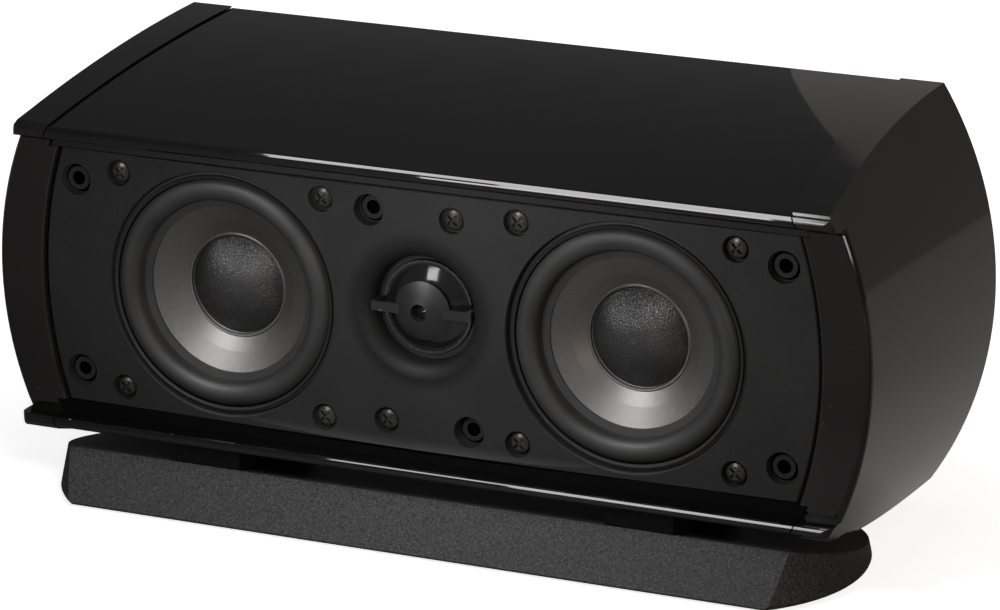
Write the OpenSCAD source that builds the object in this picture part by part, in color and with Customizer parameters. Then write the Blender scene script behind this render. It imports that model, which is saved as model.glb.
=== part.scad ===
// Satellite speaker: two woofers and a dome tweeter in an arched cabinet with barrel ends,
// resting on a low separate base. Millimetres, X to the right, Y to the back, Z up.
// The origin is on the floor, under the middle of the whole object.

/* [Cabinet] */
// Height of the drivers' axis above the floor
axis_z = 82.5; // [78:0.5:95]
// Distance from the baffle face to the back of the cabinet
body_d = 116; // [105:1:140]
// Height of the top panel above the axis, at its crown
crown = 69.9; // [66:0.1:76]
// Radius of the arch of the top panel
arch_r = 520; // [450:10:800]
// Depth of the bottom panel below the axis, at its crown
crown_low = 73.2; // [66:0.1:76]
// Radius of the arch of the bottom panel
arch_low_r = 405; // [380:5:800]
// Distance of both crowns behind the baffle face
crown_y = 115; // [100:1:130]
// Thickness of the top and bottom panels
panel_t = 10; // [8:0.5:12]
// How far the lips stand out in front of the baffle
lip_d = 8; // [5:0.5:12]
// Distance of the lips' inner faces from the axis
lip_low = 50.8; // [49:0.1:52]
// Half width across the outer ends of the lips
lip_end = 153.5; // [148:0.5:155]

/* [End caps] */
// Half width of the speaker across the barrel ends, at the front
cap_x = 163.9; // [155:0.1:175]
// Radius of the barrel ends
cap_r = 130; // [120:1:160]
// How much the barrel ends widen towards the back
cap_flare = 2.3; // [0:0.1:4]
// Half width across the joint between panels and end caps
joint_x = 150.6; // [146:0.1:154]
// Radius of the joint line
joint_r = 130; // [125:1:160]
// How far the end caps stand proud of the panels
cap_proud = 0.7; // [0:0.1:1.5]
// Wall of the end caps
cap_wall = 3; // [2:0.5:4]

/* [Baffle] */
// Half height of the baffle
baffle_h = 46; // [44:0.5:47]
// Half width of the baffle on the axis
baffle_x = 145.7; // [140:0.2:148]
// Radius of the curved ends of the baffle
baffle_r = 148; // [120:1:160]
// Thickness of the baffle
baffle_t = 6; // [5:0.5:7]
// Radius of the gentle bow of the baffle, seen from above
bow_r = 6200; // [3000:100:9000]
// How far the baffle's lower edge comes forward in the middle
kick = 1.2; // [0.5:0.1:2]
// Height of the hollow curve that leads to that edge
kick_h = 3.8; // [2:0.1:6]

/* [Woofers] */
// Distance of each woofer from the middle
woofer_x = 76; // [70:0.5:80]
// Radius of the woofer opening in the baffle
woofer_hole = 43.7; // [42:0.1:45]
// Half spacing of the woofer screws, sideways
screw_x = 39.4; // [38:0.1:41]
// Half spacing of the woofer screws, upwards
screw_z = 39.2; // [38:0.1:41]
// Middle radius of the roll surround
roll_mid = 37; // [36:0.1:39]
// Radius of the roll itself
roll_r = 4; // [3:0.1:4.2]
// Outer radius of the bare cone
cone_r = 30; // [28:0.5:32]
// Radius of the dust cap
cap_dome_r = 17.4; // [15:0.1:19]
// Height of the dust cap
cap_dome_h = 6.5; // [4:0.5:9]

/* [Tweeter] */
// Height of the tweeter above the woofer axis
tweeter_z = 3; // [0:0.5:4]
// Outer radius of the rounded mouth round the tweeter
mouth_r = 24.6; // [23:0.1:28]
// Depth of the mouth
mouth_d = 5.6; // [4:0.1:8]
// Radius of the dome
dome_r = 15.6; // [12:0.1:16]
// Height of the dome
dome_h = 4.2; // [3:0.1:5]
// Radius of the plug in front of the dome
plug_r = 10.4; // [9:0.1:11]
// Radius of the hole in the plug
plug_hole = 3; // [2:0.1:4]

/* [Base] */
// Half distance between the centres of the conical ends
base_cx = 94.5; // [85:0.5:115]
// Radius of the conical ends at the floor
base_r = 56; // [45:0.5:60]
// Taper of the conical ends from bottom to top
base_draft = 3.5; // [2:0.1:8]
// Distance of the base's middle behind the baffle face
base_cy = 29.5; // [24:0.5:40]
// Front of the base at the floor, measured from the baffle face
base_front = -12; // [-14:0.1:-9]
// Slope of the base's front face, from bottom to top
base_slope = 10; // [6:0.5:12]
// Distance of the base's front edge below the axis
base_top = 63; // [61:0.5:65]
// Gap between the cabinet and the base
base_gap = 6.6; // [4:0.1:8]
// Wall of the hollow base
base_wall = 3; // [2.5:0.5:4]

/* [Hidden] */
$fn = 96;
fine = 360;
lip_round = 4.5;
floor_gap = 1;
base_low = axis_z - floor_gap;
post_tip = body_d + 2.7;
seat_y = -(post_tip + base_front) / 2;
cap_c = cap_x - cap_r;
joint_c = joint_x - joint_r;
baffle_c = baffle_x - baffle_r;
face_y = 1;
fit = 0.4;
flange_t = 2.5;
sub_y = baffle_t + flange_t;
sub_t = 9;
sub_back = sub_y + sub_t;
wall_x = 128;
wall_t = 9;
rear_t = 9;
rear_y = body_d - rear_t;
edge_r = 2.5;
groove_round = 1.8;
cap_face_h = 48.5;
cap_recess = 1.6;
screw_sink = 0.7;
head_h = 2;
head_r = 3.9;
head_room = 4.7;
bow_strip = 20;
bow_end = 8 * bow_strip;
big = 400;
tweeter_ears = [[12.7, 37.1], [-12.7, -37.1]];
outer_sockets = [[-132.4, 34.9], [132.4, 34.9], [-132.4, -34.9], [132.4, -34.9]];
inner_sockets = [[-18.4, 37.4], [18.4, -37.4]];
socket_sink = 3;
inner_sink = 5;
corner_signs = [[-1, -1], [1, -1], [-1, 1], [1, 1]];

function bow(x) = bow_r - sqrt(bow_r * bow_r - x * x);
function arch_c(low) = low ? crown_low - arch_low_r : crown - arch_r;
function arch_rad(low) = low ? arch_low_r : arch_r;
function arch_z(low, y) = arch_c(low) + sqrt(pow(arch_rad(low), 2) - pow(crown_y - y, 2));
function nose_r(low) = low ? 1.6 : 2.2;
function arc(c, r, a0, a1, n) = [for (i = [0:n]) let (a = a0 + (a1 - a0) * i / n) c + r * [cos(a), sin(a)]];

// Helpers: the working frame has its origin in the middle of the baffle face, on the woofer axis

module seat() translate([0, seat_y, axis_z]) children();

module along_x(x0, x1) translate([x0, 0, 0]) rotate([90, 0, 90]) linear_extrude(x1 - x0) children();

module along_y(y0, y1) translate([0, y1, 0]) rotate([90, 0, 0]) linear_extrude(y1 - y0) children();

module turn() rotate([-90, 0, 0]) rotate_extrude() children();

module rod(x, z, y0, y1, r) translate([x, y0, z]) rotate([-90, 0, 0]) cylinder(r = r, h = y1 - y0);

// Disc under the arch of the top panel, or of the bottom panel upside down, in by t
module arch(low, t) translate([crown_y, arch_c(low)]) circle(r = arch_rad(low) - t, $fn = fine);

// Side view between both arches, from y0 to y1
module lens(t, y0, y1) intersection() {
    arch(false, t);
    mirror([0, 1]) arch(true, t);
    translate([y0, -big / 2]) square([y1 - y0, big]);
}

// Front view bounded by two bulging ends, in from the ends by t
module barrel(c, r, t) for (s = [-1, 1]) intersection() {
    translate([s * c, 0]) circle(r = r - t, $fn = fine);
    translate([s > 0 ? -5 : -big, -big / 2]) square([big + 5, big]);
}

// Nose of a lip in the side view, cut off above by the arch
module lip_nose(low) {
    r = nose_r(low);
    nose_y = r - lip_d;
    lean = asin((crown_y - nose_y) / arch_rad(low));
    polygon(concat([[face_y + 1, lip_low], [nose_y, lip_low]],
        arc([nose_y, lip_low + r], r, 270, 180, 6),
        arc([nose_y, arch_z(low, nose_y) - r / cos(lean)], r, 180, 90 + lean, 6),
        [[face_y + 1, crown]]));
}

// Top and bottom panels; the bottom one is drawn upside down

module panel_section(low) difference() {
    intersection() {
        arch(low, 0);
        union() {
            translate([face_y, baffle_h + fit]) square([body_d - face_y, big]);
            lip_nose(low);
        }
    }
    intersection() {
        arch(low, panel_t);
        translate([sub_back, 0]) square([body_d, big]);
    }
}

module arched_panel(low) intersection() {
    along_x(-cap_x, cap_x) panel_section(low);
    along_y(-lip_d - 1, body_d + 1) barrel(joint_c, joint_r, 0.25);
}

module top_panel() color("#0b0b0c") seat() arched_panel(false);

module bottom_panel() color("#0b0b0c") seat() difference() {
    mirror([0, 0, 1]) arched_panel(true);
    for (p = base_screw_at) translate([p[0], p[1], -crown_low - 1]) cylinder(r = 2.05, h = 25);
}

// Side walls inside the end caps, and the rear panel

module side_wall(s) color("#6b5a45") seat() mirror([s > 0 ? 0 : 1, 0, 0])
    difference() {
        along_x(wall_x - wall_t, wall_x) lens(panel_t, sub_back, rear_y);
        for (y = [35, 92], z = [-34, 34])
            translate([wall_x - wall_t - 1, y, z]) rotate([0, 90, 0]) cylinder(r = 1.8, h = wall_t + 2);
    }

module side_wall_left() side_wall(-1);

module side_wall_right() side_wall(1);

cup_w = 60;
cup_h = 42;
cup_rim = 8;
cup_screw_at = [for (c = corner_signs) [c[0] * (cup_w + 7) / 2, c[1] * (cup_h + 7) / 2]];

module rear_panel() color("#131314") seat() difference() {
    intersection() {
        along_x(-cap_x, cap_x) lens(panel_t, rear_y, body_d);
        along_y(rear_y - 1, body_d + 1) barrel(joint_c, joint_r, 0.5);
    }
    translate([-cup_w / 2, rear_y - 1, -cup_h / 2]) cube([cup_w, rear_t + 2, cup_h]);
    for (p = cup_screw_at) rod(p[0], p[1], rear_y - 1, body_d + 1, 1.45);
}

// End caps

module cap_skin(t, y0, y1) intersection() {
    translate([cap_c, 0, 0]) turn() polygon(concat([[0, y0], [cap_r - t - edge_r, y0]],
        arc([cap_r - t - edge_r, y0 + edge_r], edge_r, 270, 360, 6),
        [[cap_r - t + cap_flare, y1], [0, y1]]));
    along_x(60, big / 2) lens(t - cap_proud, y0 - 1, y1 + 1);
}

// Room for the end of the baffle in an end cap, with a rounded front edge
module cap_mouth() intersection() {
    translate([baffle_c, 0, 0]) turn() polygon(concat([[0, -1], [baffle_r + fit + groove_round, -1]],
        arc([baffle_r + fit + groove_round, groove_round - 0.1], groove_round, 270, 180, 5),
        [[baffle_r + fit, 9], [0, 9]]));
    translate([0, -2, -baffle_h - fit]) cube([big, 12, 2 * (baffle_h + fit)]);
}

// Lip of an end cap, rounded in plan at its outer front corner
module cap_lip(low) intersection() {
    along_x(joint_x - 30, cap_x) intersection() {
        arch(low, -cap_proud);
        lip_nose(low);
    }
    along_y(-lip_d - 1, face_y + 1) translate([cap_c, 0]) circle(r = cap_r, $fn = fine);
    linear_extrude(big / 2) polygon(concat([[lip_end - 30, 10], [lip_end - 30, -lip_d]],
        arc([lip_end - lip_round, lip_round - lip_d], lip_round, 270, 360, 8), [[lip_end, 10]]));
}

module end_cap(s) color("#1c1b1c") seat() mirror([s > 0 ? 0 : 1, 0, 0]) {
    difference() {
        union() {
            cap_skin(0, 0, body_d);
            cap_lip(false);
            mirror([0, 0, 1]) cap_lip(true);
        }
        along_y(-lip_d - 2, body_d + 1) difference() {
            barrel(joint_c, joint_r, -0.25);
            square([big, 2 * (baffle_h + fit)], center = true);
        }
        cap_mouth();
        for (z = [-lip_low, cap_face_h]) translate([60, -1, z])
            cube([big, cap_recess + 1, lip_low - cap_face_h]);
        along_y(8, body_d + 1) barrel(joint_c, joint_r, -0.25);
        intersection() {
            cap_skin(cap_wall, cap_wall, body_d - cap_wall);
            translate([wall_x + fit, -big / 2, -big / 2]) cube([big, big, big]);
        }
    }
    for (y = [35, 92], z = [-34, 34]) difference() {
        intersection() {
            translate([wall_x, y, z]) rotate([0, 90, 0]) cylinder(r = 5, h = 60);
            cap_skin(0.5, 1, body_d - 1);
        }
        translate([wall_x - 1, y, z]) rotate([0, 90, 0]) cylinder(r = 1.4, h = 13);
    }
}

module end_cap_left() end_cap(-1);

module end_cap_right() end_cap(1);

module cap_screws() color("#55565a") seat() for (s = [-1, 1], y = [35, 92], z = [-34, 34])
    mirror([s > 0 ? 0 : 1, 0, 0]) translate([wall_x - wall_t, y, z]) rotate([0, 90, 0]) {
        cylinder(r = 1.4, h = wall_t + 10);
        translate([0, 0, -2]) cylinder(r = 3.2, h = 2);
    }

// Baffle

// Half of the baffle's outline as a solid, its outer front edge rounded
module baffle_half(s) mirror([s > 0 ? 0 : 1, 0, 0]) intersection() {
    translate([baffle_c, 0, 0]) turn() polygon(concat([[0, -2], [baffle_r - groove_round, -2]],
        arc([baffle_r - groove_round, bow(baffle_x) - 0.3 + groove_round], groove_round, 270, 360, 5),
        [[baffle_r, baffle_t + 1], [0, baffle_t + 1]]));
    translate([-5, -3, -baffle_h]) cube([big, baffle_t + 4, 2 * baffle_h]);
}

// Plan view of the bowed baffle, its face in narrow flat strips
module bowed() polygon(concat([for (x = [-bow_end:bow_strip:bow_end]) [x, bow(x)]],
    [[bow_end, baffle_t], [-bow_end, baffle_t]]));

// Rounded opening of radius r, its edge rounded by e; it starts a little in front of the face
module mouth(r, e) turn() polygon(concat([[0, -1], [r + e, -1]],
    arc([r + e, e - 0.1], e, 270, 180, ceil(5 + e)),
    [[r, baffle_t + 2], [0, baffle_t + 2]]));

// Side view of the baffle: a small round above, and below a hollow curve that comes forward
module baffle_section() {
    kick_r = (kick_h * kick_h + kick * kick) / (2 * kick);
    lean = asin(kick_h / kick_r);
    polygon(concat([[baffle_t + 1, baffle_h]], arc([0.95, baffle_h - 1], 1, 90, 180, 4),
        arc([-kick_r - 0.02, kick_h - baffle_h], kick_r, 0, -lean, 5),
        [[baffle_t + 1, -baffle_h]]));
}

// Plan of the forward edge, which fades out towards the ends
module kick_plan() polygon(concat([for (x = [-bow_end:bow_strip:bow_end])
    [x, min(bow(x), x * x / 4200 - kick)]], [[bow_end, baffle_t], [-bow_end, baffle_t]]));

module baffle() color("#2b2b2c") seat() difference() {
    intersection() {
        along_x(-cap_x, cap_x) baffle_section();
        union() {
            baffle_half(-1);
            baffle_half(1);
        }
        union() {
            translate([0, 0, kick_h - baffle_h]) linear_extrude(big) bowed();
            translate([0, 0, -crown]) linear_extrude(crown + kick_h - baffle_h + 0.01) kick_plan();
        }
    }
    for (s = [-1, 1]) {
        translate([s * woofer_x, bow(woofer_x), 0]) rotate([0, 0, s * asin(woofer_x / bow_r)])
            mouth(woofer_hole, 1);
        for (c = corner_signs) let (x = s * woofer_x + c[0] * screw_x, z = c[1] * screw_z) {
            rod(x, z, -1, baffle_t + 1, 2.2);
            rod(x, z, -1, bow(x) + screw_sink + head_h, head_room);
        }
    }
    for (p = tweeter_ears) {
        rod(p[0], p[1], -1, baffle_t + 1, 2.2);
        rod(p[0], p[1], -1, screw_sink + head_h, head_room);
    }
    for (p = outer_sockets) {
        rod(p[0], p[1], -1, baffle_t + 1, 5.2);
        rod(p[0], p[1], -1, bow(p[0]) + socket_sink, 5.7);
    }
    for (p = inner_sockets) {
        rod(p[0], p[1], -1, baffle_t + 1, 5.2);
        rod(p[0], p[1], -1, inner_sink, 5.6);
    }
    translate([0, 0, tweeter_z]) mouth(mouth_r - mouth_d, mouth_d);
}

// Socket with a raised collar round its hole
module socket(y0, y1) turn() polygon([[2.5, y0 - 1.1], [4.1, y0 - 1.1], [4.3, y0 - 0.9],
    [4.3, y0], [5.2, y0], [5.2, y1], [0, y1], [0, y1 - 1.5], [2.5, y1 - 1.5]]);

module grille_sockets() color("#222223") seat() {
    for (p = outer_sockets) translate([p[0], bow(p[0]), p[1]]) socket(socket_sink, sub_y - 2);
    for (p = inner_sockets) translate([p[0], 0, p[1]]) socket(inner_sink, sub_y - 0.2);
}

// Square flange of a woofer with rounded corners round its screws, grown by t
module driver_flange(t) {
    square([2 * (screw_x + 5 + t), 2 * screw_z], center = true);
    square([2 * screw_x, 2 * (screw_z + 5 + t)], center = true);
    for (c = corner_signs) translate([c[0] * screw_x, c[1] * screw_z]) circle(r = 5 + t);
}

module tweeter_plate(t) {
    translate([0, tweeter_z]) circle(r = 23 + t);
    for (p = tweeter_ears) {
        translate(p) circle(r = 5 + t);
        translate([0, tweeter_z]) rotate(atan2(p[1] - tweeter_z, p[0]))
            translate([0, -4 - t]) square([norm(p - [0, tweeter_z]), 8 + 2 * t]);
    }
}

module baffle_gasket() color("#3a3a3a") seat() along_y(baffle_t, sub_y) difference() {
    square([2 * wall_x, 2 * baffle_h - 1], center = true);
    for (s = [-1, 1]) translate([s * woofer_x, 0]) driver_flange(0.5);
    tweeter_plate(0.5);
    for (p = concat(inner_sockets, outer_sockets)) translate(p) circle(r = 5.6);
}

module sub_baffle() color("#7a6448") seat() along_y(sub_y, sub_back) difference() {
    square([2 * wall_x, 2 * (baffle_h + fit) - 0.2], center = true);
    for (s = [-1, 1]) translate([s * woofer_x, 0]) {
        circle(r = 42.5);
        for (c = corner_signs) translate([c[0] * screw_x, c[1] * screw_z]) circle(r = 1.5);
    }
    translate([0, tweeter_z]) circle(r = 22);
    for (p = tweeter_ears) translate(p) circle(r = 1.5);
}

// Woofers: depths are measured back from the baffle face

roll_y = roll_r;
cone_y = 6.9;
neck_y = 13.8;
coil_r = 12.7;
motor_y = 30;
plate_t = 4;
magnet_t = 12;

module woofer_at(s) seat() translate([s * woofer_x, 0, 0]) children();

module woofer_frame(s) color("#161617") woofer_at(s) difference() {
    union() {
        along_y(baffle_t, sub_y) driver_flange(0);
        turn() polygon([[41.2, 1.9], [42.2, 1.7], [42.4, 2.6], [43.4, 2.7], [43.4, baffle_t + 0.5],
            [40.1, baffle_t + 0.5], [40.1, 4.9], [41.2, 4.9]]);
        turn() polygon([[40.1, baffle_t], [42.2, baffle_t], [42.2, sub_back], [34, motor_y],
            [26, motor_y], [26, motor_y - 2], [32.8, motor_y - 2], [40.1, sub_back - 1]]);
    }
    rod(0, 0, 0, sub_y, 40);
    for (c = corner_signs) rod(c[0] * screw_x, c[1] * screw_z, 0, sub_y + 1, 1.9);
    for (a = [0:60:300]) rotate([0, a, 0]) translate([-9, sub_back + 1, 24]) cube([18, 9, 30]);
}

module woofer_surround(s) color("#1d1d1e") woofer_at(s) turn() {
    difference() {
        translate([roll_mid, roll_y]) circle(r = roll_r);
        translate([roll_mid, roll_y]) circle(r = roll_r - 0.7);
        translate([0, roll_y]) square([60, 20]);
    }
    translate([roll_mid + roll_r - 0.7, roll_y - 0.05]) square([0.7, 0.9]);
    polygon([[roll_mid - roll_r, roll_y - 0.05], [roll_mid - roll_r + 0.7, roll_y - 0.05],
        [roll_mid - roll_r + 0.4, cone_y - 0.6], [cone_r, cone_y - 0.05], [cone_r, cone_y - 0.75],
        [roll_mid - roll_r - 0.4, cone_y - 1.3]]);
}

module woofer_cone(s) color("#8d8b88") woofer_at(s) turn() {
    polygon([[roll_mid - roll_r + 0.2, cone_y - 0.5], [cone_r, cone_y], [23.5, 10.2],
        [cap_dome_r + 1.5, neck_y - 0.85], [cap_dome_r + 1.1, neck_y - 1.2],
        [cap_dome_r + 0.6, neck_y - 1.1], [cap_dome_r + 0.4, neck_y - 0.6], [cap_dome_r + 0.4, neck_y],
        [coil_r + 0.5, neck_y + 3.2], [coil_r + 0.5, neck_y + 3.9],
        [cap_dome_r + 0.6, neck_y + 0.7], [23.8, 10.9], [cone_r + 0.4, cone_y + 0.7],
        [roll_mid - roll_r + 0.2, cone_y + 0.2]]);
}

dome_sphere = (cap_dome_r * cap_dome_r + cap_dome_h * cap_dome_h) / (2 * cap_dome_h);

module dust_cap(s) color("#1a1a1b") woofer_at(s) turn() difference() {
    intersection() {
        translate([0, neck_y - cap_dome_h + dome_sphere]) circle(r = dome_sphere, $fn = 180);
        translate([0, neck_y - cap_dome_h - 1]) square([cap_dome_r, cap_dome_h + 1]);
    }
    translate([0, neck_y - cap_dome_h + dome_sphere]) circle(r = dome_sphere - 0.6, $fn = 180);
}

module woofer_coil(s) color("#b0703c") woofer_at(s) turn() {
    translate([coil_r, neck_y + 3]) square([0.5, 22]);
    translate([coil_r + 0.5, motor_y - 1.5]) square([0.5, 7]);
}

module woofer_spider(s) color("#a8843f") woofer_at(s) turn() polygon(concat(
    [for (i = [0:14]) [coil_r + 0.5 + i, 26.6 + (i % 2)]], [[29.2, 27.6], [29.2, 28], [27.7, 28]],
    [for (i = [14:-1:0]) [coil_r + 0.5 + i, 27 + (i % 2)]]));

module woofer_top_plate(s) color("#8a8c90") woofer_at(s) turn()
    translate([coil_r + 1.3, motor_y]) square([30 - coil_r - 1.3, plate_t]);

module woofer_magnet(s) color("#3c3d40") woofer_at(s) turn()
    translate([17, motor_y + plate_t]) square([16, magnet_t]);

module woofer_yoke(s) color("#8a8c90") woofer_at(s) turn() {
    translate([0, motor_y + plate_t + magnet_t]) square([30, 5]);
    translate([0, motor_y]) square([coil_r - 0.4, plate_t + magnet_t + 1]);
}

module woofer_frame_left() woofer_frame(-1);

module woofer_frame_right() woofer_frame(1);

module woofer_surround_left() woofer_surround(-1);

module woofer_surround_right() woofer_surround(1);

module woofer_cone_left() woofer_cone(-1);

module woofer_cone_right() woofer_cone(1);

module dust_cap_left() dust_cap(-1);

module dust_cap_right() dust_cap(1);

module woofer_coil_left() woofer_coil(-1);

module woofer_coil_right() woofer_coil(1);

module woofer_spider_left() woofer_spider(-1);

module woofer_spider_right() woofer_spider(1);

module woofer_top_plate_left() woofer_top_plate(-1);

module woofer_top_plate_right() woofer_top_plate(1);

module woofer_magnet_left() woofer_magnet(-1);

module woofer_magnet_right() woofer_magnet(1);

module woofer_yoke_left() woofer_yoke(-1);

module woofer_yoke_right() woofer_yoke(1);

// Tweeter

wall_r = mouth_r - mouth_d;
dome_y = 8;
tweeter_back = 34;

module tweeter_at() seat() translate([0, 0, tweeter_z]) children();

module tweeter_housing() color("#18181a") difference() {
    union() {
        seat() along_y(baffle_t, sub_y) tweeter_plate(0);
        tweeter_at() turn() polygon([[0, sub_y - 1], [21, sub_y - 1], [21, tweeter_back - 2],
            [19, tweeter_back], [0, tweeter_back]]);
    }
    tweeter_at() rod(0, 0, 0, mouth_d + 1, wall_r);
    tweeter_at() rod(0, 0, 0, 9.6, wall_r);
    tweeter_at() rod(0, 0, 9, tweeter_back - 2, 14.8);
    seat() for (p = tweeter_ears) rod(p[0], p[1], 0, sub_y + 1, 1.9);
}

module tweeter_ring() color("#9a9b9d") tweeter_at() turn()
    translate([dome_r + 0.1, dome_y - 0.5]) square([0.9, 2.1]);

dome_ball = (dome_r * dome_r + dome_h * dome_h) / (2 * dome_h);

module tweeter_dome() color("#0e0e10") tweeter_at() turn() {
    difference() {
        intersection() {
            translate([0, dome_y - dome_h + dome_ball]) circle(r = dome_ball, $fn = 180);
            translate([0, dome_y - dome_h - 1]) square([dome_r, dome_h + 1]);
        }
        translate([0, dome_y - dome_h + dome_ball]) circle(r = dome_ball - 0.5, $fn = 180);
    }
    translate([14.9, dome_y - 0.4]) square([dome_r - 14.9, 2]);
}

plug_h = 3.1;
plug_back = 2.9;
plug_front = -0.3;
plug_ball = (plug_r * plug_r + plug_h * plug_h) / (2 * plug_h);

module tweeter_plug() color("#222224") tweeter_at() difference() {
    union() {
        turn() intersection() {
            translate([0, plug_front + plug_ball]) circle(r = plug_ball, $fn = 180);
            translate([0, plug_front - 1]) square([plug_r, plug_back - plug_front + 1]);
        }
        turn() translate([dome_r + 1.3, 8.6]) square([wall_r - dome_r - 1.5, 1]);
        for (s = [-1, 1]) {
            translate([s > 0 ? 7 : 7 - wall_r - 6.8, 1.7, -1.7]) cube([wall_r - 7.2, 1.2, 3.4]);
            translate([s > 0 ? dome_r + 1.5 : -wall_r + 0.2, 1.7, -1.7])
                cube([wall_r - dome_r - 1.7, 7.2, 3.4]);
        }
    }
    rod(0, 0, -2, plug_back + 1, plug_hole);
}

module tweeter_coil() color("#b0703c") tweeter_at() turn()
    translate([13.6, dome_y + 1]) square([0.5, 7]);

module tweeter_magnet() color("#8a8c90") tweeter_at() turn() {
    translate([0, 13]) square([13.2, 9]);
    translate([0, 21.9]) square([14.8, tweeter_back - 2 - 21.9]);
}

// Screws

module cross_screw(y, l) {
    difference() {
        translate([0, y, 0]) turn() polygon([[0, 0], [2.4, 0.15], [head_r - 0.5, 0.6], [head_r, 1.2],
            [head_r, head_h], [0, head_h]]);
        for (a = [45, 135]) rotate([0, a, 0]) translate([-2.3, y - 1, -0.5]) cube([4.6, 2.3, 1]);
    }
    rod(0, 0, y + head_h - 0.1, y + l, 1.4);
}

module woofer_screws() color("#1b1b1c") seat() for (s = [-1, 1], c = corner_signs)
    let (x = s * woofer_x + c[0] * screw_x)
        translate([x, bow(x) + screw_sink, c[1] * screw_z]) cross_screw(0, 15);

module tweeter_screws() color("#1b1b1c") seat() for (p = tweeter_ears)
    translate([p[0], screw_sink, p[1]]) cross_screw(0, 15);

module cup_screws() color("#1b1b1c") seat() for (p = cup_screw_at)
    translate([p[0], body_d, p[1]]) mirror([0, 1, 0]) cross_screw(-3.6, 5);

// Crossover, on the inside of the rear panel

board_y = rear_y - 6;
board_x = 72;

module crossover_board() color("#2e5b3a") seat() {
    difference() {
        translate([board_x - 38, board_y - 1.6, -30]) cube([76, 1.6, 60]);
        for (x = [-33, 33], z = [-25, 25]) rod(board_x + x, z, board_y - 3, board_y + 1, 1.6);
    }
    for (x = [-28, 28], z = [-18, 18]) rod(board_x + x, z, board_y - 0.1, rear_y, 3);
}

module crossover_coils() color("#b0703c") seat() for (p = [[-20, 14, 12], [14, -14, 9]])
    translate([board_x + p[0], board_y - 1.6 - 12, p[1]]) turn()
        translate([5, 0]) square([p[2] - 5, 12]);

module crossover_capacitors() color("#3b5c8c") seat() for (p = [[18, 16, 7], [-22, -12, 6]])
    translate([board_x + p[0] - 13, board_y - 1.6 - p[2], p[1]]) rotate([0, 90, 0])
        cylinder(r = p[2], h = 26);

module crossover_resistor() color("#d9d4c8") seat()
    translate([board_x - 7, board_y - 1.6 - 9, -4]) cube([20, 9, 8]);

// Terminals

post_x = 9.5;
cup_floor = body_d - 16;

module terminal_cup() color("#141415") seat() difference() {
    union() {
        translate([-cup_w / 2 + 0.3, cup_floor - 2, -cup_h / 2 + 0.3])
            cube([cup_w - 0.6, body_d - cup_floor + 2.5, cup_h - 0.6]);
        translate([-cup_w / 2 - cup_rim, body_d, -cup_h / 2 - cup_rim])
            cube([cup_w + 2 * cup_rim, 1.6, cup_h + 2 * cup_rim]);
    }
    translate([-cup_w / 2 + 2.3, cup_floor, -cup_h / 2 + 2.3]) cube([cup_w - 4.6, 30, cup_h - 4.6]);
    for (s = [-1, 1]) rod(s * post_x, 0, cup_floor - 3, cup_floor + 1, 3);
    for (p = cup_screw_at) rod(p[0], p[1], body_d - 1, body_d + 3, 1.45);
}

module post(s, c) seat() color(c) translate([s * post_x, 0, 0]) {
    difference() {
        turn() polygon([[0, cup_floor], [6, cup_floor], [6, cup_floor + 3], [5, cup_floor + 4],
            [7, cup_floor + 5], [7, post_tip - 1], [6.2, post_tip], [0, post_tip]]);
        rod(0, 0, post_tip - 14, post_tip + 1, 2);
        for (a = [0:30:330]) rotate([0, a, 0]) translate([7.3, cup_floor + 6, 0]) rotate([-90, 0, 0])
            cylinder(r = 0.7, h = 20);
    }
    rod(0, 0, cup_floor - 9, cup_floor + 0.1, 2.6);
}

module post_red() post(1, "#a31518");

module post_black() post(-1, "#141415");

module post_nuts() color("#c9b26a") seat() for (s = [-1, 1])
    translate([s * post_x, cup_floor - 5, 0]) rotate([-90, 0, 0]) difference() {
        cylinder(r = 5, h = 3, $fn = 6);
        translate([0, 0, -1]) cylinder(r = 2.6, h = 5);
    }

// Wadding under the top panel and above the bottom panel

module wadding(s) color("#d8d5cc") seat() intersection() {
    translate([-110, 42, s > 0 ? 36 : -66]) cube([220, rear_y - 44, 30]);
    along_x(-big / 2, big / 2) lens(panel_t + 1, 0, rear_y);
}

module wadding_top() wadding(1);

module wadding_bottom() wadding(-1);

// Base

base_h = base_low - base_top;
foot_low = 2.5;
foot_at = [for (c = corner_signs) [c[0] * 112, base_cy + c[1] * 20]];
pad_x = 82;
pad_at = [for (x = [-pad_x, pad_x], y = [-1.5, 44]) [x, y]];
base_screw_at = [for (p = pad_at) [p[0], p[1] + 6.5]];
screw_seat = 3.6;

// Half outline of the base from the side: w wide at the floor, leaning in by l towards the top
function skirt(w, l) = let (a = atan(l / base_h)) concat([[0, 0], [w - foot_low, 0]],
    arc([w - foot_low, foot_low], foot_low, 270, 360 - a, 5),
    [[w - l * (base_h + 2) / base_h, base_h + 2], [0, base_h + 2]]);

// Solid form of the base, in by t: conical ends between inclined front and rear faces
module base_form(t) intersection() {
    union() {
        for (s = [-1, 1]) translate([s * base_cx, 0, 0]) rotate_extrude()
            polygon(skirt(base_r - t, base_draft));
        translate([-base_cx, -base_r + base_draft + 1 + t, 0])
            cube([2 * base_cx, 2 * (base_r - base_draft - 1 - t), base_h + 2]);
    }
    along_x(-cap_x, cap_x) for (s = [0, 1]) mirror([s, 0])
        polygon(skirt(base_cy - base_front - t, base_slope));
}

// Everything above a surface that follows the bottom panel at distance gap
module above_base(gap) along_x(-cap_x, cap_x) translate([crown_y, -arch_c(true)])
    circle(r = arch_low_r + gap, $fn = fine);

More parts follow.
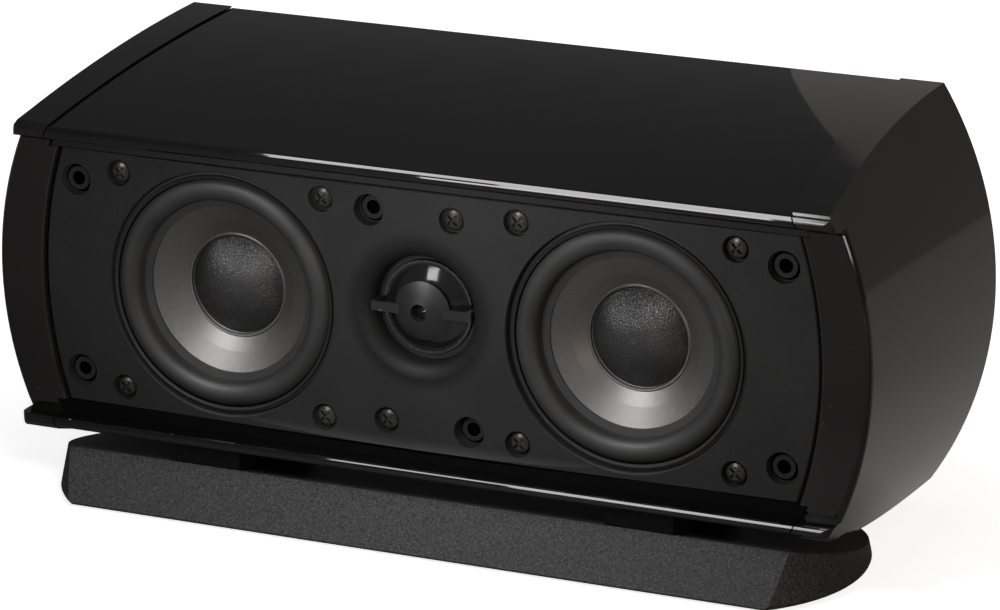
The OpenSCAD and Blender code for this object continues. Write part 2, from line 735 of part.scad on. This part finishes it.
module base() color("#3a3a3b") seat() difference() {
    union() {
        difference() {
            translate([0, base_cy, -base_low]) base_form(0);
            difference() {
                translate([0, base_cy, -base_low - foot_low]) base_form(base_wall);
                above_base(base_gap + base_wall);
            }
        }
        for (p = foot_at) translate([p[0], p[1], -base_low]) cylinder(r = 9.5, h = base_h);
        for (p = base_screw_at) translate([p[0], p[1], -base_low]) cylinder(r = 6, h = base_h);
    }
    above_base(base_gap);
    for (p = foot_at) translate([p[0], p[1], -base_low - 1]) cylinder(r = 8.2, h = 2);
    for (p = base_screw_at) translate([p[0], p[1], -base_low - 1]) {
        cylinder(r = 2.2, h = 30);
        cylinder(r = 4.3, h = screw_seat + 1);
    }
}

module base_pads() color("#202021") seat() difference() {
    for (p = pad_at) along_x(p[0] - 12.6, p[0] + 12.6) intersection() {
        translate([crown_y, -arch_c(true)]) circle(r = arch_low_r + base_gap, $fn = fine);
        translate([p[1], -axis_z]) square([13, axis_z]);
    }
    along_x(-cap_x, cap_x) translate([crown_y, -arch_c(true)]) circle(r = arch_low_r, $fn = fine);
    for (p = base_screw_at) translate([p[0], p[1], -axis_z]) cylinder(r = 2.2, h = axis_z);
}

module base_screws() color("#8c8e92") seat() for (p = base_screw_at)
    translate([p[0], p[1], screw_seat - base_low]) {
        cylinder(r = 2, h = base_low - screw_seat - arch_z(true, p[1]) + 8);
        translate([0, 0, -2.6]) difference() {
            cylinder(r = 3.8, h = 2.6);
            translate([0, 0, -1]) cylinder(r = 1.8, h = 2.6, $fn = 6);
        }
    }

module base_feet() color("#101010") seat() for (p = foot_at)
    translate([p[0], p[1], -axis_z]) cylinder(r = 8, h = floor_gap + 1);

top_panel();
bottom_panel();
side_wall_left();
side_wall_right();
rear_panel();
end_cap_left();
end_cap_right();
baffle();
sub_baffle();
baffle_gasket();
woofer_frame_left();
woofer_frame_right();
woofer_surround_left();
woofer_surround_right();
woofer_cone_left();
woofer_cone_right();
dust_cap_left();
dust_cap_right();
woofer_coil_left();
woofer_coil_right();
woofer_spider_left();
woofer_spider_right();
woofer_top_plate_left();
woofer_top_plate_right();
woofer_magnet_left();
woofer_magnet_right();
woofer_yoke_left();
woofer_yoke_right();
tweeter_housing();
tweeter_dome();
tweeter_ring();
tweeter_plug();
tweeter_coil();
tweeter_magnet();
woofer_screws();
tweeter_screws();
grille_sockets();
cap_screws();
crossover_board();
crossover_coils();
crossover_capacitors();
crossover_resistor();
terminal_cup();
cup_screws();
post_red();
post_black();
post_nuts();
wadding_top();
wadding_bottom();
base();
base_pads();
base_screws();
base_feet();
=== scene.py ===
import math

import bpy
from mathutils import Matrix, Vector


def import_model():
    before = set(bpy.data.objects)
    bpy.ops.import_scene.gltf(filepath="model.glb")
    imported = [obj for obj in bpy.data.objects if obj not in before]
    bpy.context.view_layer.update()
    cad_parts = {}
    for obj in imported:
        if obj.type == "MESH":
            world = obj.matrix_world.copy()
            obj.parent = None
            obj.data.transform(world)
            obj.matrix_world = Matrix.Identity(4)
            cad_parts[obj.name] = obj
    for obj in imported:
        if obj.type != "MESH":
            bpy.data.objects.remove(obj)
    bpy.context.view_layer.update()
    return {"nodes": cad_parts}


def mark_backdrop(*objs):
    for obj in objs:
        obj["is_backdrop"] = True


# Looks of the satellite speaker: materials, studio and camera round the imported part

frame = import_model()
NODES = frame["nodes"]
MM = 0.001

# Places on the part: height of the drivers' axis, baffle's face, drivers and sockets
AXIS_Z = 82.5 * MM
FACE_Y = -53.35 * MM
WOOFER_X = 76 * MM
TWEETER_Z = AXIS_Z + 3 * MM
DISH_RADIUS = 28.5 * MM
DISH_EDGE = 4 * MM
LIP_DEPTH = 12 * MM
LIP_UNDERSIDE = 50.9 * MM
SOCKET_OUTER_Y = -49.6 * MM
SOCKET_INNER_Y = FACE_Y + 4 * MM
SOCKET_SPLIT = (0.05, 0.1)  # distances from the middle between inner and outer sockets

# Patterns that every even material shares: scales per metre, and where dust begins to show
CLOUD_SCALE = 35
DUST_SCALE = 420
DUST_RARE = (0.76, 0.86)
COAT_ROUGH = 0.04

# Colours, in linear light
WHITE = (1.0, 1.0, 1.0)
WARM_WHITE = (1.0, 0.9, 0.89)
BLACK = (0.0, 0.0, 0.0)
DUST = (0.25, 0.24, 0.23)
LACQUER = (0.004, 0.004, 0.0042)
# Matt recess behind the lips: painted light above the drivers' axis, the lacquer's own black below
RECESS_PAINTED_LIGHT = (0.016, 0.016, 0.016)
RECESS_BELOW = (0.004, 0.004, 0.004)
# Near black painted as shade into the depths of the grille sockets
SOCKET_PAINTED_SHADE = (0.0008, 0.0008, 0.0008)
BAFFLE_LOW = (0.011, 0.011, 0.011)
BAFFLE_HIGH = (0.016, 0.016, 0.016)
CONE = (0.15, 0.145, 0.139)
CHARCOAL = (0.034, 0.034, 0.035)
STEEL = (0.5, 0.51, 0.53)
DISH_PAINTED_SHADE = 0.5  # share of the baffle's colour left in the tweeter's dish, as painted shade

# Studio: how bright the surroundings are and the lights' power in watts
AMBIENT = 0.11
BACKDROP_NEAR = 0.29
BACKDROP_FAR = BACKDROP_NEAR * 0.6
BACKDROP_BEHIND = 850 * MM
CARD_LEFT_BELOW = -0.184
CARD_LEFT_ABOVE = -0.244
CARD_RIGHT = 1.6
CARD_TOP = 1.4
CARD_FADE = (0.2, 0.45)
FLOOR_HALF = 3.0
FLOOR_REACH = (0.28, 0.2)  # half axes of the shaded floor round the object
# floor glow near the object, lowered as painted shade
FLOOR_NEAR_PAINTED_SHADE = 0.82
FLOOR_AWAY = 1.1
FLOOR_MIRROR = 0.3
FLOOR_FAR = 0.75
FLOOR_MIRROR_TINT = (1.0, 0.92, 0.915)
SIDE_TINT = (1.0, 0.84, 0.76)
KEY = 4.2
LIP = 3.0
FRONT = 4.0
LOW = 2.0
SIDE = 3.5
FILL = 0.46
CEILING = 0.9

# Camera, matched to the photograph
CAMERA_AT = Vector((0.7156, -1.53432, 0.60823))
CAMERA_TO = Vector((0.03049, -0.05335, 0.0922))
CAMERA_ROLL = math.radians(-0.472)
FOCAL_PX = 5081.6
FRAME_PX = 1000
SENSOR = 36


# Node tree helpers

def new_material(name):
    """An empty material, its tree and its Principled shader."""
    mat = bpy.data.materials.new(name)
    mat.use_nodes = True
    return mat, mat.node_tree, mat.node_tree.nodes["Principled BSDF"]


def add(tree, kind, **properties):
    node = tree.nodes.new(kind)
    for key, value in properties.items():
        setattr(node, key, value)
    return node


def put(tree, socket, value):
    """Links value to the socket, or sets it when it is a plain number or colour."""
    if isinstance(value, bpy.types.NodeSocket):
        tree.links.new(value, socket)
    elif isinstance(value, (tuple, list)) and socket.type == "RGBA":
        socket.default_value = (*value[:3], 1)
    else:
        socket.default_value = value


def math_node(tree, operation, *values):
    node = add(tree, "ShaderNodeMath", operation=operation)
    for socket, value in zip(node.inputs, values):
        put(tree, socket, value)
    return node.outputs[0]


def length(tree, a, b):
    """Distance from the origin in the plane of a and b."""
    squares = [math_node(tree, "POWER", side, 2.0) for side in (a, b)]
    return math_node(tree, "SQRT", math_node(tree, "ADD", *squares))


def place(tree, scale=(1, 1, 1), shift=(0, 0, 0), turn=(0, 0, 0)):
    """The part's own coordinates in metres, scaled, turned and shifted."""
    source = add(tree, "ShaderNodeTexCoord")
    mapping = add(tree, "ShaderNodeMapping")
    mapping.inputs["Scale"].default_value = scale
    mapping.inputs["Rotation"].default_value = turn
    mapping.inputs["Location"].default_value = shift
    tree.links.new(source.outputs["Object"], mapping.inputs["Vector"])
    return mapping.outputs["Vector"]


def axes(tree, vector):
    node = add(tree, "ShaderNodeSeparateXYZ")
    tree.links.new(vector, node.inputs[0])
    return node.outputs


def noise(tree, vector, scale, detail=2.0, rough=0.5):
    node = add(tree, "ShaderNodeTexNoise")
    node.inputs["Scale"].default_value = scale
    node.inputs["Detail"].default_value = detail
    node.inputs["Roughness"].default_value = rough
    tree.links.new(vector, node.inputs["Vector"])
    return node.outputs["Fac"]


def cells(tree, vector, scale):
    """Distance to the nearest point of a cellular pattern."""
    node = add(tree, "ShaderNodeTexVoronoi", feature="F1")
    node.inputs["Scale"].default_value = scale
    tree.links.new(vector, node.inputs["Vector"])
    return node.outputs["Distance"]


def spread(tree, value, low, high, low_at=0.3, high_at=0.7):
    """value spread between two numbers or two colours."""
    if not isinstance(low, (tuple, list)):
        node = add(tree, "ShaderNodeMapRange")
        limits = {"From Min": low_at, "From Max": high_at, "To Min": low, "To Max": high}
        for key, number in limits.items():
            node.inputs[key].default_value = number
        tree.links.new(value, node.inputs["Value"])
        return node.outputs["Result"]
    node = add(tree, "ShaderNodeValToRGB")
    for stop, at, colour in zip(node.color_ramp.elements, (low_at, high_at), (low, high)):
        stop.position = at
        stop.color = (*colour, 1)
    tree.links.new(value, node.inputs["Fac"])
    return node.outputs["Color"]


def blend(tree, factor, below, above):
    """Colour below where factor is 0 and above where it is 1."""
    node = add(tree, "ShaderNodeMix", data_type="RGBA")
    put(tree, node.inputs["Factor"], factor)
    put(tree, node.inputs[6], below)
    put(tree, node.inputs[7], above)
    return node.outputs[2]


def bump(tree, shader, height, strength, distance, under=None):
    node = add(tree, "ShaderNodeBump")
    node.inputs["Strength"].default_value = strength
    node.inputs["Distance"].default_value = distance
    tree.links.new(height, node.inputs["Height"])
    if under is not None:
        tree.links.new(under, node.inputs["Normal"])
    tree.links.new(node.outputs["Normal"], shader.inputs["Normal"])
    return node.outputs["Normal"]


def shade(colour, factor):
    return tuple(channel * factor for channel in colour)


def dress(mat, *names):
    """Gives one material to whole pieces of the part."""
    for name in names:
        node = NODES[name]
        node.data.materials.clear()
        node.data.materials.append(mat)


def both(name):
    return name + "_left", name + "_right"


def surface(name, colour, rough, grain=900, depth=0.15, vary=0.12, metal=0.0, coat=0.0,
            spec=0.5, step=0.05 * MM, uneven=0.06, dusty=0.25):
    """An even material: mottled colour, uneven gloss, fine grain and a little dust.

    rough is the mean roughness and uneven how far it strays, grain the scale of the fine
    noise, depth and step its bump, vary the mottling of the colour, dusty the dust's share.
    """
    mat, tree, shader = new_material(name)
    here = place(tree)
    cloud = noise(tree, here, CLOUD_SCALE, 3)
    fine = noise(tree, here, grain, 2)
    tint = spread(tree, cloud, shade(colour, 1 - vary), shade(colour, 1 + vary))
    dust = spread(tree, noise(tree, here, DUST_SCALE, 1, 0.3), 0.0, dusty, *DUST_RARE)
    gloss = spread(tree, fine, rough - uneven, min(rough + uneven, 1))
    put(tree, shader.inputs["Base Color"], blend(tree, dust, tint, DUST))
    put(tree, shader.inputs["Roughness"], gloss)
    shader.inputs["Metallic"].default_value = metal
    shader.inputs["Coat Weight"].default_value = coat
    shader.inputs["Coat Roughness"].default_value = COAT_ROUGH
    shader.inputs["Specular IOR Level"].default_value = spec
    bump(tree, shader, fine, depth, step)
    return mat


def matt_where(mat, mask, colour):
    """Mixes a matt finish into a material where the mask is 1."""
    tree = mat.node_tree
    out = tree.nodes["Material Output"]
    gloss = out.inputs["Surface"].links[0].from_socket
    flat = add(tree, "ShaderNodeBsdfDiffuse")
    put(tree, flat.inputs["Color"], colour)
    mix = add(tree, "ShaderNodeMixShader")
    put(tree, mix.inputs["Fac"], mask)
    tree.links.new(gloss, mix.inputs[1])
    tree.links.new(flat.outputs[0], mix.inputs[2])
    tree.links.new(mix.outputs[0], out.inputs["Surface"])


def between(tree, value, low, high, soft=0.3 * MM):
    """1 while value lies between low and high, 0 outside."""
    rise = spread(tree, value, 0.0, 1.0, low - soft, low + soft)
    fall = spread(tree, value, 1.0, 0.0, high - soft, high + soft)
    return math_node(tree, "MULTIPLY", rise, fall)


# Cabinet

def gloss_black():
    """Black lacquer with a faint orange peel; matt in the recess behind the lips, where painted
    light makes the recess lighter above the drivers' axis.
    """
    mat = surface("gloss_black", LACQUER, 0.03, 70, 0.006, 0.1, step=0.2 * MM,
                  uneven=0.01, dusty=0.08)
    tree = mat.node_tree
    _, y, z = axes(tree, place(tree))
    height = math_node(tree, "ABSOLUTE", math_node(tree, "SUBTRACT", z, AXIS_Z))
    recess = math_node(tree, "MULTIPLY", between(tree, height, 0, LIP_UNDERSIDE, 0.05 * MM),
                       between(tree, y, -1, FACE_Y + LIP_DEPTH))
    # painted light: the recess under the top lip is lighter than the lacquer, the recess under the
    # axis is not
    above = between(tree, z, AXIS_Z, 1)
    matt_where(mat, recess, blend(tree, above, RECESS_BELOW, RECESS_PAINTED_LIGHT))
    return mat


def satin_plastic():
    """Moulded end caps: brownish black, softly mottled gloss and a few dust specks."""
    return surface("satin_plastic", (0.006, 0.0055, 0.0053), 0.09, 160, 0.02, 0.15, step=0.1 * MM,
                   uneven=0.02, dusty=0.12)


def baffle_grey():
    """Dark grey moulding with a fine matt spark texture, with painted shade darkening the
    tweeter's dish.
    """
    mat, tree, shader = new_material("baffle_grey")
    here = place(tree)
    spark = noise(tree, here, 1500, 3, 0.7)
    cloud = noise(tree, here, 25, 3)
    tint = spread(tree, cloud, BAFFLE_LOW, BAFFLE_HIGH)
    sparkle = spread(tree, spark, 0.0, 0.45, 0.5, 0.75)
    mottled = blend(tree, sparkle, tint, shade(BAFFLE_HIGH, 2.2))
    x, _, z = axes(tree, here)
    # painted shade: the baffle's colour is lowered inside the tweeter's recessed dish
    away = length(tree, x, math_node(tree, "SUBTRACT", z, TWEETER_Z))
    dish_painted_shade = spread(tree, away, DISH_PAINTED_SHADE, 1.0, DISH_RADIUS - DISH_EDGE, DISH_RADIUS)
    put(tree, shader.inputs["Base Color"], blend(tree, dish_painted_shade, BLACK, mottled))
    put(tree, shader.inputs["Roughness"], spread(tree, spark, 0.5, 0.66))
    shader.inputs["Specular IOR Level"].default_value = 0.12
    bump(tree, shader, spark, 0.5, 0.12 * MM)
    return mat


def socket_black():
    """Grille sockets: grey collars, with painted shade (matt near black) in the depth round and
    inside them.
    """
    mat = surface("socket_black", (0.009, 0.009, 0.009), 0.5, 1300, 0.3, spec=0.2)
    tree = mat.node_tree
    x, y, _ = axes(tree, place(tree))
    outer = spread(tree, math_node(tree, "ABSOLUTE", x), 0.0, 1.0, *SOCKET_SPLIT)
    rim = spread(tree, outer, SOCKET_INNER_Y, SOCKET_OUTER_Y, 0.0, 1.0)
    depth = math_node(tree, "SUBTRACT", y, rim)
    # painted shade: everything deeper than the socket's rim turns matt near black
    matt_where(mat, spread(tree, depth, 0.0, 1.0, 0.0, 0.1 * MM), SOCKET_PAINTED_SHADE)
    return mat


def fibreboard():
    """Raw fibreboard: short fibres pressed flat, in a cloudy tone."""
    mat, tree, shader = new_material("fibreboard")
    fibre = noise(tree, place(tree, (1, 0.25, 1)), 900, 4, 0.7)
    cloud = noise(tree, place(tree), 60, 4)
    light = spread(tree, fibre, (0.27, 0.19, 0.11), (0.42, 0.32, 0.2))
    put(tree, shader.inputs["Base Color"], blend(tree, cloud, light, (0.34, 0.25, 0.16)))
    shader.inputs["Roughness"].default_value = 0.85
    bump(tree, shader, fibre, 0.5, 0.1 * MM)
    return mat


def dress_cabinet():
    dress(gloss_black(), "top_panel", "bottom_panel")
    dress(satin_plastic(), *both("end_cap"))
    dress(baffle_grey(), "baffle")
    dress(socket_black(), "grille_sockets")
    dress(surface("satin_black", (0.016, 0.016, 0.017), 0.45, 1400, 0.4), "rear_panel")
    dress(fibreboard(), *both("side_wall"), "sub_baffle")
    dress(surface("foam", (0.03, 0.03, 0.03), 0.9, 700, 0.8), "baffle_gasket")


# Drivers

def cone_silver():
    """Silver grey cone: satin film with a fine radial brushing and faint rings."""
    mat, tree, shader = new_material("cone_silver")
    here = place(tree)
    x, _, z = axes(tree, here)
    side = math_node(tree, "SUBTRACT", math_node(tree, "ABSOLUTE", x), WOOFER_X)
    height = math_node(tree, "SUBTRACT", z, AXIS_Z)
    angle = math_node(tree, "ARCTAN2", height, side)
    radius = length(tree, side, height)
    polar = add(tree, "ShaderNodeCombineXYZ")
    put(tree, polar.inputs[0], math_node(tree, "MULTIPLY", angle, 9.0))
    put(tree, polar.inputs[1], math_node(tree, "MULTIPLY", radius, 60.0))
    brushed = noise(tree, polar.outputs[0], 6, 4, 0.6)
    grain = noise(tree, here, 1800, 2, 0.6)
    glint = spread(tree, grain, 0.0, 0.5, 0.45, 0.8)
    film = spread(tree, brushed, shade(CONE, 0.88), shade(CONE, 1.1))
    put(tree, shader.inputs["Base Color"], blend(tree, glint, film, shade(CONE, 1.4)))
    put(tree, shader.inputs["Roughness"], spread(tree, brushed, 0.42, 0.5))
    shader.inputs["Metallic"].default_value = 0.97
    bump(tree, shader, grain, 0.12, 0.05 * MM)
    return mat


def cap_black():
    """Dust cap: black with a pebbled skin that sparkles under the top light."""
    mat, tree, shader = new_material("cap_black")
    here = place(tree)
    pebble = cells(tree, here, 2200)
    grain = noise(tree, here, 3200, 2, 0.6)
    skin = spread(tree, pebble, (0.002, 0.002, 0.002), (0.016, 0.016, 0.0165))
    put(tree, shader.inputs["Base Color"], skin)
    put(tree, shader.inputs["Roughness"], spread(tree, grain, 0.22, 0.36))
    shader.inputs["Specular IOR Level"].default_value = 0.55
    first = bump(tree, shader, pebble, 0.7, 0.35 * MM)
    bump(tree, shader, grain, 0.35, 0.08 * MM, first)
    return mat


def rubber_black():
    """Roll surround: matt rubber with a faint bloom and a fine grain."""
    mat, tree, shader = new_material("rubber_black")
    here = place(tree)
    cloud = noise(tree, here, 80, 3)
    fine = noise(tree, here, 1500, 2)
    bloom = spread(tree, cloud, (0.013, 0.013, 0.013), (0.019, 0.019, 0.019))
    put(tree, shader.inputs["Base Color"], bloom)
    put(tree, shader.inputs["Roughness"], spread(tree, fine, 0.48, 0.6))
    shader.inputs["Specular IOR Level"].default_value = 0.35
    bump(tree, shader, fine, 0.12, 0.04 * MM)
    return mat


def cloth(name, low, high, scale):
    """Woven cloth: two crossed waves."""
    mat, tree, shader = new_material(name)
    here = place(tree)
    threads = []
    for direction in ("X", "Z"):
        wave = add(tree, "ShaderNodeTexWave", bands_direction=direction)
        wave.inputs["Scale"].default_value = scale
        wave.inputs["Distortion"].default_value = 0.6
        tree.links.new(here, wave.inputs["Vector"])
        threads.append(wave.outputs["Fac"])
    weave = math_node(tree, "MULTIPLY", *threads)
    put(tree, shader.inputs["Base Color"], spread(tree, weave, low, high, 0.1, 0.8))
    shader.inputs["Roughness"].default_value = 0.85
    bump(tree, shader, weave, 0.5, 0.15 * MM)
    return mat


def winding():
    """Enamelled copper wire wound in fine turns."""
    mat, tree, shader = new_material("copper")
    wave = add(tree, "ShaderNodeTexWave", bands_direction="Y")
    wave.inputs["Scale"].default_value = 320
    wave.inputs["Distortion"].default_value = 0.4
    tree.links.new(place(tree), wave.inputs["Vector"])
    put(tree, shader.inputs["Base Color"],
        spread(tree, wave.outputs["Fac"], (0.35, 0.12, 0.04), (0.68, 0.3, 0.12)))
    shader.inputs["Metallic"].default_value = 1.0
    shader.inputs["Roughness"].default_value = 0.3
    bump(tree, shader, wave.outputs["Fac"], 0.5, 0.15 * MM)
    return mat


def dress_woofers():
    frame_black = surface("frame_black", (0.007, 0.007, 0.007), 0.42, 1300, 0.3, spec=0.3)
    dress(frame_black, *both("woofer_frame"), "tweeter_housing")
    dress(rubber_black(), *both("woofer_surround"))
    dress(cone_silver(), *both("woofer_cone"))
    dress(cap_black(), *both("dust_cap"))
    dress(winding(), *both("woofer_coil"), "tweeter_coil", "crossover_coils")
    dress(cloth("spider_cloth", (0.3, 0.18, 0.05), (0.55, 0.38, 0.16), 500),
          *both("woofer_spider"))
    dress(surface("plated_steel", STEEL, 0.3, 600, 0.2, metal=1.0),
          *both("woofer_top_plate"), *both("woofer_yoke"), "tweeter_magnet")
    dress(surface("ferrite", (0.05, 0.05, 0.055), 0.7, 500, 0.5, 0.25), *both("woofer_magnet"))


def dress_tweeter():
    dress(surface("dome_black", (0.006, 0.006, 0.0065), 0.1, 300, 0.03, uneven=0.03),
          "tweeter_dome")
    dress(surface("ring_metal", (0.12, 0.12, 0.12), 0.25, 900, 0.1, metal=1.0), "tweeter_ring")
    dress(surface("plug_satin", (0.01, 0.01, 0.0105), 0.4, 1500, 0.3, spec=0.3), "tweeter_plug")


def dress_fasteners():
    dress(surface("screw_black", (0.05, 0.05, 0.049), 0.3, 1100, 0.6, 0.3, metal=0.8),
          "woofer_screws", "tweeter_screws", "cup_screws")
    dress(surface("screw_steel", STEEL, 0.35, 800, 0.2, metal=1.0), "cap_screws", "base_screws")


# Inside

def circuit_board():
    """Green board with paler tracks under the varnish."""
    mat, tree, shader = new_material("circuit_board")
    brick = add(tree, "ShaderNodeTexBrick", offset=0.5)
    sizes = {"Scale": 60.0, "Mortar Size": 0.06, "Brick Width": 0.7, "Row Height": 0.2}
    for key, value in sizes.items():
        brick.inputs[key].default_value = value
    for key, colour in (("Color1", (0.012, 0.09, 0.035)), ("Color2", (0.014, 0.105, 0.04)),
                        ("Mortar", (0.05, 0.2, 0.07))):
        brick.inputs[key].default_value = (*colour, 1)
    tree.links.new(place(tree, turn=(math.radians(90), 0, 0)), brick.inputs["Vector"])
    put(tree, shader.inputs["Base Color"], brick.outputs["Color"])
    shader.inputs["Roughness"].default_value = 0.32
    bump(tree, shader, brick.outputs["Fac"], 0.3, 0.05 * MM)
    return mat


def dress_inside():
    dress(circuit_board(), "crossover_board")
    dress(surface("capacitor_blue", (0.02, 0.07, 0.3), 0.28, 500, 0.15), "crossover_capacitors")
    dress(surface("ceramic", (0.7, 0.67, 0.6), 0.8, 500, 0.5), "crossover_resistor")
    dress(surface("wadding", (0.75, 0.72, 0.66), 1.0, 260, 1.0, 0.15, step=0.8 * MM),
          "wadding_top", "wadding_bottom")


def dress_rear():
    dress(surface("cup_black", (0.013, 0.013, 0.013), 0.5, 1100, 0.5), "terminal_cup")
    dress(surface("post_red", (0.45, 0.008, 0.01), 0.22, 400, 0.05, coat=0.5), "post_red")
    dress(surface("post_black", (0.01, 0.01, 0.01), 0.22, 400, 0.05, coat=0.5), "post_black")
    dress(surface("brass", (0.75, 0.55, 0.2), 0.3, 700, 0.2, metal=1.0), "post_nuts")


# Base

def base_charcoal():
    """Charcoal paint full of tiny lighter and darker specks."""
    mat, tree, shader = new_material("base_charcoal")
    here = place(tree)
    specks = noise(tree, here, 1000, 3, 0.8)
    grains = cells(tree, here, 1300)
    dark = spread(tree, specks, shade(CHARCOAL, 0.35), shade(CHARCOAL, 1.55), 0.35, 0.65)
    bright = spread(tree, grains, 0.8, 0.0, 0.1, 0.3)
    put(tree, shader.inputs["Base Color"], blend(tree, bright, dark, shade(CHARCOAL, 4.0)))
    put(tree, shader.inputs["Roughness"], spread(tree, specks, 0.5, 0.7))
    shader.inputs["Specular IOR Level"].default_value = 0.12
    bump(tree, shader, specks, 0.4, 0.1 * MM)
    return mat


def dress_base():
    dress(base_charcoal(), "base")
    dress(surface("pad_black", (0.0012, 0.0012, 0.0012), 0.6, 900, 0.3, spec=0.1, dusty=0.03),
          "base_pads")
    dress(surface("foot_rubber", (0.008, 0.008, 0.008), 0.8, 900, 0.3), "base_feet")


# Studio

def area(name, at, to, size, power, colour=WHITE, mirrored=True, lighting=True):
    """A rectangular light facing a point: seen in glossy surfaces, lighting matt ones, or both."""
    data = bpy.data.lights.new(name, "AREA")
    data.shape = "RECTANGLE"
    data.size, data.size_y = size
    data.energy = power
    data.color = colour
    obj = bpy.data.objects.new(name, data)
    bpy.context.scene.collection.objects.link(obj)
    obj.location = at
    obj.rotation_euler = (Vector(to) - Vector(at)).to_track_quat("-Z", "Y").to_euler()
    obj.visible_glossy = mirrored
    obj.visible_diffuse = lighting
    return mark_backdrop(obj)


def world():
    """White behind the object for the camera, dim grey for everything else."""
    studio = bpy.data.worlds.new("studio")
    bpy.context.scene.world = studio
    studio.use_nodes = True
    tree = studio.node_tree
    path = add(tree, "ShaderNodeLightPath")
    seen = blend(tree, path.outputs["Is Camera Ray"], (AMBIENT,) * 3, WHITE)
    put(tree, tree.nodes["Background"].inputs["Color"], seen)


def plane(name, corners):
    mesh = bpy.data.meshes.new(name)
    mesh.from_pydata(corners, [], [range(len(corners))])
    obj = bpy.data.objects.new(name, mesh)
    bpy.context.scene.collection.objects.link(obj)
    return obj


def floor():
    """A pale floor: white for the camera but for the object's shadow, which is real shade deepened
    by painted shade where the glow dims round the object; dimmer for the object, with a painted
    shadow just in front of it in its reflections.
    """
    corners = [(-1, -1), (1, -1), (1, 1), (-1, 1)]
    obj = plane("floor", [(FLOOR_HALF * x, FLOOR_HALF * y, 0) for x, y in corners])
    mat, tree, shader = new_material("floor_white")
    path = add(tree, "ShaderNodeLightPath")
    camera_ray = path.outputs["Is Camera Ray"]
    x, y, _ = axes(tree, place(tree, (1 / FLOOR_REACH[0], 1 / FLOOR_REACH[1], 1)))
    # painted shade: the glow seen by the camera is lower near the object than away from it
    white = spread(tree, length(tree, x, y), FLOOR_NEAR_PAINTED_SHADE, FLOOR_AWAY, 0.7, 1.5)
    # painted shadow in the floor's glow that only reflections see: dim just in front of the
    # object, brighter further in front and behind, darker far away
    front = spread(tree, y, 0.45, 0.1, -1.5, -0.5)
    behind = spread(tree, y, 0.0, 0.9, -0.1, 0.25)
    far = spread(tree, y, 1.0, FLOOR_FAR, 0.2, 0.9)
    shown = math_node(tree, "MULTIPLY", math_node(tree, "ADD", front, behind), far)
    shown = math_node(tree, "MULTIPLY", shown, FLOOR_MIRROR)
    mirror = math_node(tree, "MULTIPLY", path.outputs["Is Glossy Ray"], shown)
    glow = math_node(tree, "ADD", math_node(tree, "MULTIPLY", camera_ray, white), mirror)
    put(tree, shader.inputs["Base Color"],
        blend(tree, camera_ray, (0.3, 0.3, 0.3), (0.85, 0.85, 0.85)))
    shader.inputs["Roughness"].default_value = 0.9
    shader.inputs["Specular IOR Level"].default_value = 0.0
    put(tree, shader.inputs["Emission Color"],
        blend(tree, camera_ray, FLOOR_MIRROR_TINT, WHITE))
    put(tree, shader.inputs["Emission Strength"], glow)
    obj.data.materials.append(mat)


def backdrop():
    """A dim card behind the right half, darker to the right, seen only in glossy surfaces."""
    y = FACE_Y + BACKDROP_BEHIND
    obj = plane("backdrop", [(CARD_LEFT_BELOW, y, 0), (CARD_RIGHT, y, 0),
                             (CARD_RIGHT, y, CARD_TOP), (CARD_LEFT_ABOVE, y, CARD_TOP)])
    mat, tree, shader = new_material("card")
    tree.nodes.remove(shader)
    emit = add(tree, "ShaderNodeEmission")
    emit.inputs["Color"].default_value = (*WARM_WHITE, 1)
    x = axes(tree, place(tree))[0]
    strength = spread(tree, x, BACKDROP_NEAR, BACKDROP_FAR, *CARD_FADE)
    put(tree, emit.inputs["Strength"], strength)
    tree.links.new(emit.outputs[0], tree.nodes["Material Output"].inputs["Surface"])
    obj.data.materials.append(mat)
    obj.visible_camera = False
    obj.visible_diffuse = False


def mirrored_lights():
    """Softboxes that only show as reflections in the glossy surfaces."""
    under_key = (-0.225, FACE_Y, 0.1)
    area("key", (-0.225, -0.38, 0.66), under_key, (0.28, 0.42), KEY, lighting=False)
    area("lip", (-0.225, -0.36, 0.645), under_key, (0.28, 0.12), LIP, lighting=False)
    area("front", (-0.36, -1.2, 0.7), (-0.36, FACE_Y, 0.1), (0.34, 0.34), FRONT, lighting=False)
    area("low", (-0.41, -1.2, 0.11), (-0.41, FACE_Y, 0.11), (0.22, 0.2), LOW, WARM_WHITE,
         lighting=False)


def lights():
    """The softboxes, a warm light at the right, and two that light only the matt surfaces."""
    mirrored_lights()
    area("right", (0.95, -0.75, 0.4), (0.0, FACE_Y, 0.08), (0.4, 0.4), SIDE, SIDE_TINT)
    area("fill", (0.015, -0.21, 0.16), (0.015, FACE_Y, 0.125), (0.12, 0.04), FILL, mirrored=False)
    area("ceiling", (0.0, -0.15, 1.0), (0.0, 0.0, 0.08), (0.6, 0.6), CEILING, mirrored=False)


# Camera

def camera():
    """The photograph's camera: its place, aim, roll and focal length."""
    data = bpy.data.cameras.new("camera")
    data.sensor_width = SENSOR
    data.lens = FOCAL_PX * SENSOR / FRAME_PX
    obj = bpy.data.objects.new("camera", data)
    bpy.context.scene.collection.objects.link(obj)
    ahead = (CAMERA_TO - CAMERA_AT).normalized()
    right = ahead.cross(Vector((0, 0, 1))).normalized()
    up = right.cross(ahead)
    turn = Matrix((right, up, -ahead)).transposed() @ Matrix.Rotation(CAMERA_ROLL, 3, "Z")
    obj.matrix_world = Matrix.Translation(CAMERA_AT) @ turn.to_4x4()
    bpy.context.scene.camera = obj


def main():
    for dressing in (dress_cabinet, dress_woofers, dress_tweeter, dress_fasteners,
                     dress_inside, dress_rear, dress_base):
        dressing()
    world()
    floor()
    backdrop()
    lights()
    camera()
    bpy.context.scene.view_settings.view_transform = "Standard"


main()
